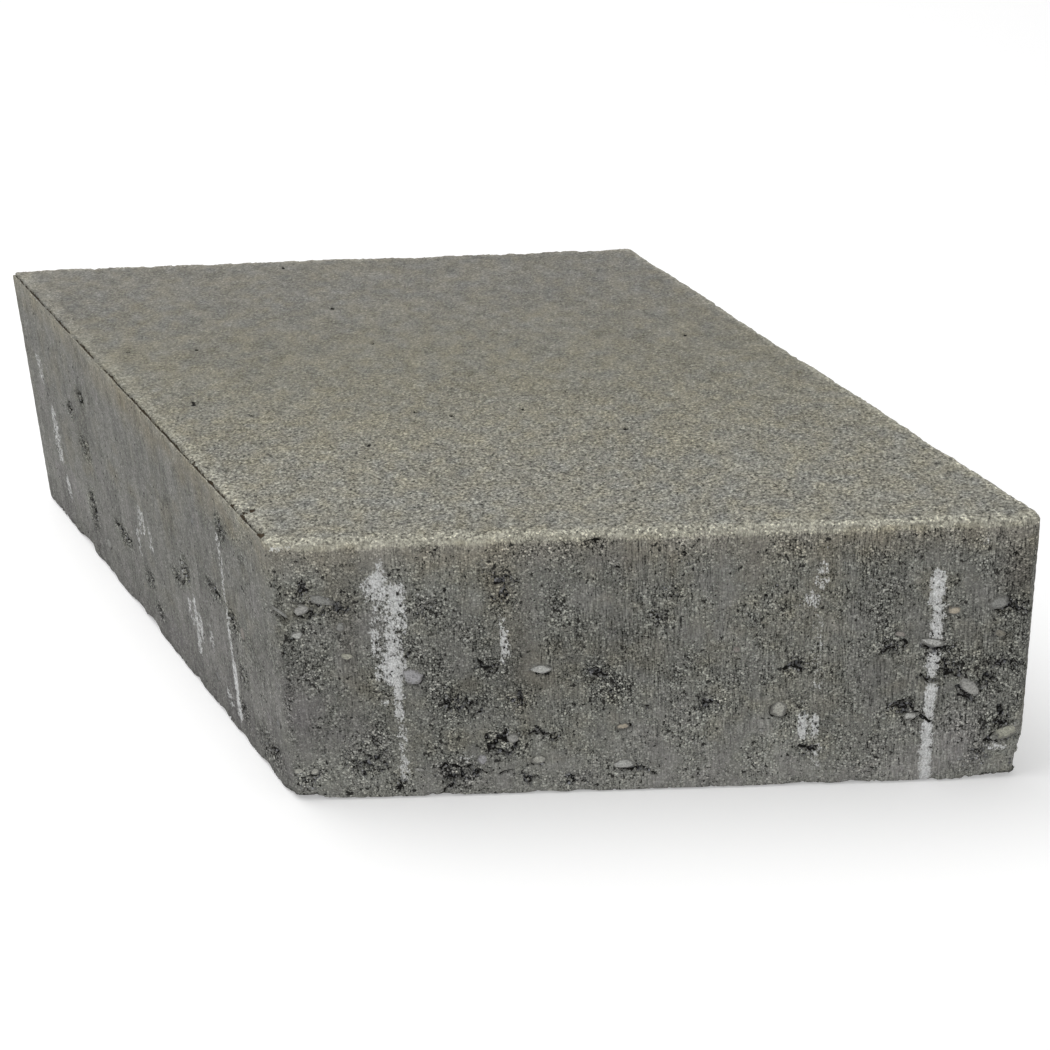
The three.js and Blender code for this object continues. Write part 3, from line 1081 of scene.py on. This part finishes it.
def make_sand(skin, depth, weight):
    """Coarse grains of sand that stand in the pockets, in the cracks and on the gritty patches."""
    draw = np.random.default_rng(11)
    chosen = draw.choice(len(weight), SAND_GRAINS, replace=False, p=weight / weight.sum())
    ball, corners = ball_parts(1)
    radius = 0.20 + 0.42 * draw.random(SAND_GRAINS) ** 1.8
    ragged = 1 + 0.22 * draw.uniform(-1, 1, (SAND_GRAINS, len(ball)))
    squashed = ball[None] * draw.uniform(0.7, 1.0, (SAND_GRAINS, 1, 3))
    grains = turned(squashed * ragged[:, :, None], draw) * radius[:, None, None]
    seated = depth[chosen] + 0.15 * radius
    seated = np.maximum(seated, SAND_FARTHEST * radius + SAND_COVER)
    centres = skin.places[chosen] - skin.normals[chosen] * seated[:, None]
    places = (grains + centres[:, None]).reshape(-1, 3)
    faces = corners[None] + len(ball) * np.arange(SAND_GRAINS)[:, None, None]
    sand = mesh_object("sand_grains", places, faces.reshape(-1, 3), smooth=False)
    grain_lightness_and_shade = 0.19 + 0.36 * draw.random(SAND_GRAINS) ** 2.2
    # Painted shade: grains seated deeper in the holes are made darker.
    grain_lightness_and_shade *= 1 - 0.40 * ramp(0.6, 2.0, depth[chosen])
    warmth = draw.uniform(-1, 1, SAND_GRAINS)
    colors = grain_lightness_and_shade[:, None] * (1 + warmth[:, None] * SAND_WARMTH)
    tint(sand, np.repeat(colors, len(ball), axis=0))
    return sand


# ---------------------------------------------------------------- finishes


class Wire:
    """A value that flows between nodes. Arithmetic on it adds the nodes that work it out."""

    def __init__(self, graph, socket):
        self.graph = graph
        self.socket = socket

    def __add__(self, other):
        return self.graph.math("ADD", self, other)

    def __sub__(self, other):
        return self.graph.math("SUBTRACT", self, other)

    def __rsub__(self, other):
        return self.graph.math("SUBTRACT", other, self)

    def __mul__(self, other):
        return self.graph.math("MULTIPLY", self, other)

    def __pow__(self, other):
        return self.graph.math("POWER", self, other)

    __radd__ = __add__
    __rmul__ = __mul__


class Graph:
    """A tree of shader nodes. Each call adds a node and returns what it gives out."""

    def __init__(self, tree):
        self.tree = tree

    def feed(self, socket, value):
        if isinstance(value, Wire):
            self.tree.links.new(value.socket, socket)
        elif socket.type == "RGBA":
            socket.default_value = (*value, 1.0)
        else:
            socket.default_value = value

    def nodes(self, kind, outputs, inputs, **settings):
        node = self.tree.nodes.new(kind)
        for name, value in settings.items():
            setattr(node, name, value)
        for name, value in inputs.items():
            self.feed(node.inputs[name], value)
        return [Wire(self, node.outputs[output]) for output in outputs]

    def node(self, kind, output, inputs, **settings):
        return self.nodes(kind, [output], inputs, **settings)[0]

    def math(self, operation, *values):
        return self.node("ShaderNodeMath", 0, dict(enumerate(values)), operation=operation)

    def largest(self, *values):
        most = values[0]
        for value in values[1:]:
            most = self.math("MAXIMUM", most, value)
        return most

    def smallest(self, first, second):
        return self.math("MINIMUM", first, second)

    def stretched(self, vector, upright):
        factors = (1.0, 1.0, upright)
        return self.node("ShaderNodeVectorMath", 0, {0: vector, 1: factors}, operation="MULTIPLY")

    def scaled(self, vector, factor):
        """A place or a colour multiplied by a factor."""
        return self.node("ShaderNodeVectorMath", 0, {0: vector, "Scale": factor}, operation="SCALE")

    def noise(self, vector, size, detail=2.0, roughness=0.5):
        """Noise from about -1 to 1 whose lumps measure size millimetres."""
        inputs = {"Vector": vector, "Scale": 1 / size, "Detail": detail, "Roughness": roughness}
        return self.math("MULTIPLY_ADD", self.node("ShaderNodeTexNoise", "Fac", inputs), 4.0, -2.0)

    def grains(self, vector, size):
        """Packed sand: how far into the gap between grains, and two numbers from 0 to 1 for each grain."""
        inputs = {"Vector": vector, "Scale": 1 / size}
        distance, color = self.nodes("ShaderNodeTexVoronoi", ["Distance", "Color"], inputs)
        red, green = self.nodes("ShaderNodeSeparateColor", ["Red", "Green"], {0: color})
        return self.step(distance, 0.38, 0.75), red, green

    def step(self, value, low, high, to_low=0.0, to_high=1.0):
        inputs = {"Value": value, "From Min": low, "From Max": high, "To Min": to_low, "To Max": to_high}
        return self.node("ShaderNodeMapRange", 0, inputs, interpolation_type="SMOOTHSTEP")

    def mix(self, share, first, second, blend="MIX"):
        inputs = {0: share, 6: first, 7: second}  # a mix of colours keeps them in these sockets
        return self.node("ShaderNodeMix", 2, inputs, data_type="RGBA", blend_type=blend)

    def mask(self, name, output="Fac"):
        return self.node("ShaderNodeAttribute", output, {}, attribute_name=name)

    def millimetres(self):
        return self.scaled(self.node("ShaderNodeTexCoord", "Object", {}), 1 / MM)

    def bump(self, height, distance):
        inputs = {"Height": height, "Distance": distance * MM, "Strength": 1.0}
        return self.node("ShaderNodeBump", 0, inputs)

    def seen(self):
        """1 to the eye and in mirrors and glass, 0 to the light that falls on things."""
        rays = ["Is Camera Ray", "Is Glossy Ray", "Is Transmission Ray"]
        return self.largest(*self.nodes("ShaderNodeLightPath", rays, {}))


def finish(name, make, roughness, specular=0.25):
    """A material whose shader has its constants set, and takes from make the inputs that it works out."""
    material = bpy.data.materials.new(name)
    material.use_nodes = True
    shader = material.node_tree.nodes["Principled BSDF"]
    shader.inputs["Roughness"].default_value = roughness
    shader.inputs["Specular IOR Level"].default_value = specular
    graph = Graph(material.node_tree)
    for socket, value in make(graph).items():
        graph.feed(shader.inputs[socket], value)
    return material


SIDE_SMOOTH = (0.211, 0.210, 0.194)
SIDE_ROUGH = ((0.206, 0.210, 0.191), (0.214, 0.214, 0.189))
SIDE_SAND = (0.36, 0.35, 0.31)
SIDE_STAIN = (0.165, 0.143, 0.105)
FACE_COLORS = ((0.242, 0.242, 0.219), (0.259, 0.244, 0.189))
# The paler face mix round the arris, lifted further by a painted highlight.
EDGE_COLORS_WITH_HIGHLIGHT = ((0.385, 0.374, 0.310), (0.460, 0.446, 0.368))
BELOW_EDGE = (0.266, 0.254, 0.217)
LILAC_WASH = (1.035, 0.975, 1.085)
BROWN_WASH = (1.01, 0.94, 0.80)
LIME = (0.83, 0.835, 0.83)
# Painted shade inside holes: near black, and brown-black where earth lies in the crevice.
HOLE_SHADE = (0.020, 0.019, 0.017)
EARTHY_HOLE_SHADE = (0.075, 0.056, 0.036)
PASTE = (0.205, 0.202, 0.186)


def concrete(g):
    """The stone's own finish, from the fields painted on it and from noises finer than its mesh."""
    place = g.millimetres()
    top = g.mask("topness")
    crisp = g.mask("crisp")
    grain = g.noise(g.stretched(place, 0.6), 0.50, 2.0, 0.9)  # the mould draws the paste out upright
    scoring = g.noise(g.stretched(place, 0.07), 0.56, 2.0, 0.9)
    pores = g.noise(g.stretched(place, 0.75), 1.15, 2.0, 0.55)
    gap, pick, second_pick = g.grains(place, 0.46)
    spark = pick ** 6.0 - 0.14
    edge_color_and_highlight = g.mix(pick, *EDGE_COLORS_WITH_HIGHLIGHT)

    # The face mix shows as a paler band round the arris, made paler still by a painted highlight, and fades
    # out about a centimetre down.
    level = g.mask("level") + 0.5 * grain
    banded = g.mask("banded")
    band = g.step(level, THICKNESS - 3.1, THICKNESS - 1.5) * banded
    tinted = g.step(level, THICKNESS - 13.0, THICKNESS - 0.5) * banded

    side_color = g.mix(band, g.mix(tinted, side_paste(g, second_pick), BELOW_EDGE), edge_color_and_highlight)
    side_color = g.scaled(side_color, side_light(g, place, scoring, grain, gap, spark, band))
    face_color = g.mix(g.mask("rim"), g.mix(g.mask("hue"), *FACE_COLORS), edge_color_and_highlight)
    sand = g.noise(place, 0.80, 1.0, 0.6)
    flecks = 0.11 * pores + 0.35 * sand + 0.22 * grain + 0.60 * spark - 0.03
    face_color = g.scaled(face_color, g.mask("tone") + flecks * crisp)
    color = washed(g, g.mix(top, side_color, face_color))
    color = limed(g, color, scoring, pores, grain, gap)
    color = painted_hole_shade(g, color, pores, grain, top, band)
    bumps = 0.8 * grain + pores * (1.1 * top * crisp - 0.4)
    return {"Base Color": color, "Normal": g.bump(bumps, 0.17)}


def side_paste(g, second_pick):
    """Grey paste over sand, with a pale grain here and there and brown runs."""
    color = g.mix(g.step(g.mask("grit"), 0.3, 0.8), SIDE_SMOOTH, g.mix(second_pick, *SIDE_ROUGH))
    color = g.mix(0.25 * g.step(second_pick, 0.93, 0.95), color, SIDE_SAND)
    return g.mix(0.5 * g.mask("stain"), color, SIDE_STAIN)


def side_light(g, place, scoring, grain, gap, spark, band):
    """Tone of the sides: scored upright by the mould, speckled where the sand is bare, and darkened in the
    gaps between grains by painted shade.
    """
    strokes = g.noise(g.stretched(place, 0.12), 0.42, 2.0, 0.9)
    flakes = g.step(grain, 0.45, 0.90) + g.step(grain, -0.80, -0.45, -1.80, 0.0)
    # The gaps between grains are darkened here as painted shade.
    speckle = 0.45 * grain + 0.95 * flakes + 2.20 * spark - 0.80 * (gap - 0.3)
    speckle = speckle * (1.0 - 0.45 * band)
    scores = (0.8 * scoring + strokes) * g.mask("scored") * 0.33
    return g.mask("tone") + scores + speckle * g.mask("grit") ** 1.3 * 0.98


def washed(g, color):
    """The colour turned lilac or brown by the patches of tone."""
    cool = g.mask("cool")
    color = g.mix(0.55 * g.largest(cool, 0.0), color, LILAC_WASH, "MULTIPLY")
    brown = g.smallest(g.largest(-1.0 * cool, 0.0), 1.0)
    return g.mix(brown, color, BROWN_WASH, "MULTIPLY")


def limed(g, color, scoring, pores, grain, gap):
    """The colour under lime that clings to the grains."""
    lime = g.mask("lime")
    broken = 0.26 * scoring - 0.58 * pores + 0.62 * grain - 0.15 * gap
    covered = g.step(lime + broken * g.smallest(2.5 * lime, 1.0), 0.30, 0.66)
    thick = g.step(lime + 1.3 * broken, 0.5, 2.0, 0.62, 1.0)
    # Lime is darkened in the gaps between grains as painted shade.
    return g.mix(covered * thick, color, g.scaled(LIME, 1.0 + 0.30 * grain - 0.15 * gap))


def painted_hole_shade(g, color, pores, grain, top, band):
    """The colour with dark pores and pits on top of all, their darkness painted shade."""
    # Pores, pits, pockets and cracks are painted near black as shade, and the crevice brown-black as earth
    # in shade.
    threshold = 0.99 - 0.54 * g.mask("grit") - 0.40 * g.mask("mottle")
    dark_pore_shade = g.step(pores + 0.22 * grain - threshold, 0.0, 0.06)
    dark_pore_shade = dark_pore_shade * (1.0 - top) * (1.0 - 0.6 * band) * 0.95
    opened = g.step(g.mask("pit_shade") + 0.16 * grain + 0.50 * pores, 0.46, 0.54)
    face_pore_shade = g.step(pores, 1.0, 1.3) * top * 0.55
    holes = g.largest(opened, face_pore_shade, dark_pore_shade)
    return g.mix(holes, color, g.mix(g.mask("earth"), HOLE_SHADE, EARTHY_HOLE_SHADE))


def aggregate(g):
    """Pebbles and sand: each its own tint, veined, with paste left round the rims."""
    place = g.millimetres()
    grain = g.noise(place, 0.55, 2.0, 0.9)
    patches = g.noise(place, 1.2, 2.0, 0.7)
    color = g.scaled(g.mask("tint", "Color"), 1.10 + 0.26 * patches + 0.50 * grain)
    paste = g.step(g.mask("cover") + 0.65 * grain + 0.75 * patches, 0.50, 0.62)
    color = g.mix(0.85 * paste, color, g.scaled(PASTE, 1.0 + 0.5 * grain))
    return {"Base Color": color, "Normal": g.bump(grain + patches, 0.24)}


FLOOR_SIZE = 8
FLOOR_COLOR = (0.80, 0.80, 0.80)
FLOOR_GLOW = 0.28


def pale_floor(g):
    """Plain pale floor. To the eye it also glows a little, so that it reads white but keeps the shadow."""
    glow = FLOOR_GLOW * g.seen()
    return {"Base Color": FLOOR_COLOR, "Emission Color": (1.0, 1.0, 1.0), "Emission Strength": glow}


# ---------------------------------------------------------------- stage, light and camera


def make_floor():
    bpy.ops.mesh.primitive_plane_add(size=FLOOR_SIZE)
    floor = bpy.context.object
    floor.name = "floor"
    floor.data.materials.append(finish("pale floor", pale_floor, roughness=0.9, specular=0.5))


def make_light(name, place, target, size, watts):
    light = bpy.data.lights.new(name, "AREA")
    light.shape = "DISK"
    light.size = size
    light.energy = watts
    lamp = bpy.data.objects.new(name, light)
    bpy.context.scene.collection.objects.link(lamp)
    lamp.location = place
    lamp.rotation_euler = (Vector(target) - Vector(place)).to_track_quat("-Z", "Y").to_euler()


WORLD_LIGHT = 0.45


def make_world():
    """Even light from all round, with a world that looks white."""
    world = bpy.data.worlds.new("studio")
    bpy.context.scene.world = world
    world.use_nodes = True
    g = Graph(world.node_tree)
    background = world.node_tree.nodes["Background"]
    g.feed(background.inputs["Color"], (1, 1, 1))
    g.feed(background.inputs["Strength"], WORLD_LIGHT + (1 - WORLD_LIGHT) * g.seen())


CAMERA_PLACE = (28.66, -558.32, 373.54)
CAMERA_LENS = 78.5
CAMERA_DOWN = math.radians(31.44)
CAMERA_LEFT = math.radians(1.54)
CAMERA_ROLL = math.radians(2.75)


def make_camera():
    data = bpy.data.cameras.new("camera")
    data.lens = CAMERA_LENS
    camera = bpy.data.objects.new("camera", data)
    bpy.context.scene.collection.objects.link(camera)
    heading = Matrix.Rotation(CAMERA_LEFT, 4, "Z") @ Matrix.Rotation(math.pi / 2 - CAMERA_DOWN, 4, "X")
    roll = Matrix.Rotation(-CAMERA_ROLL, 4, "Z")
    camera.matrix_world = Matrix.Translation(Vector(CAMERA_PLACE) * MM) @ heading @ roll
    bpy.context.scene.camera = camera


# ---------------------------------------------------------------- the scene

make_camera()
make_world()
make_floor()
make_light("softbox above", place=(-0.5, 0.1, 1.4), target=(0, 0, 0.05), size=1.2, watts=14)
make_light("fill", place=(0.2, -1.6, 0.8), target=(0, 0, 0.04), size=1.2, watts=4)

shell_places, shell_normals, shell_quads = bare_stone()
shell = Skin(shell_places, shell_normals)
cut_depth, finish_of_stone, sand_likelihood = relief(shell)

stone = make_stone(shell, shell_quads, cut_depth, finish_of_stone)
stone.data.materials.append(finish("dry-cast concrete", concrete, roughness=0.95))
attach(stone, "root")
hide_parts(NODE)

bared_aggregate = finish("bared aggregate", aggregate, roughness=0.9)
pebbles = make_pebbles()
pebbles.data.materials.append(bared_aggregate)
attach(pebbles, "root")

sand = make_sand(shell, cut_depth, sand_likelihood)
sand.data.materials.append(bared_aggregate)
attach(sand, "root")

bpy.context.scene.view_settings.view_transform = "Standard"
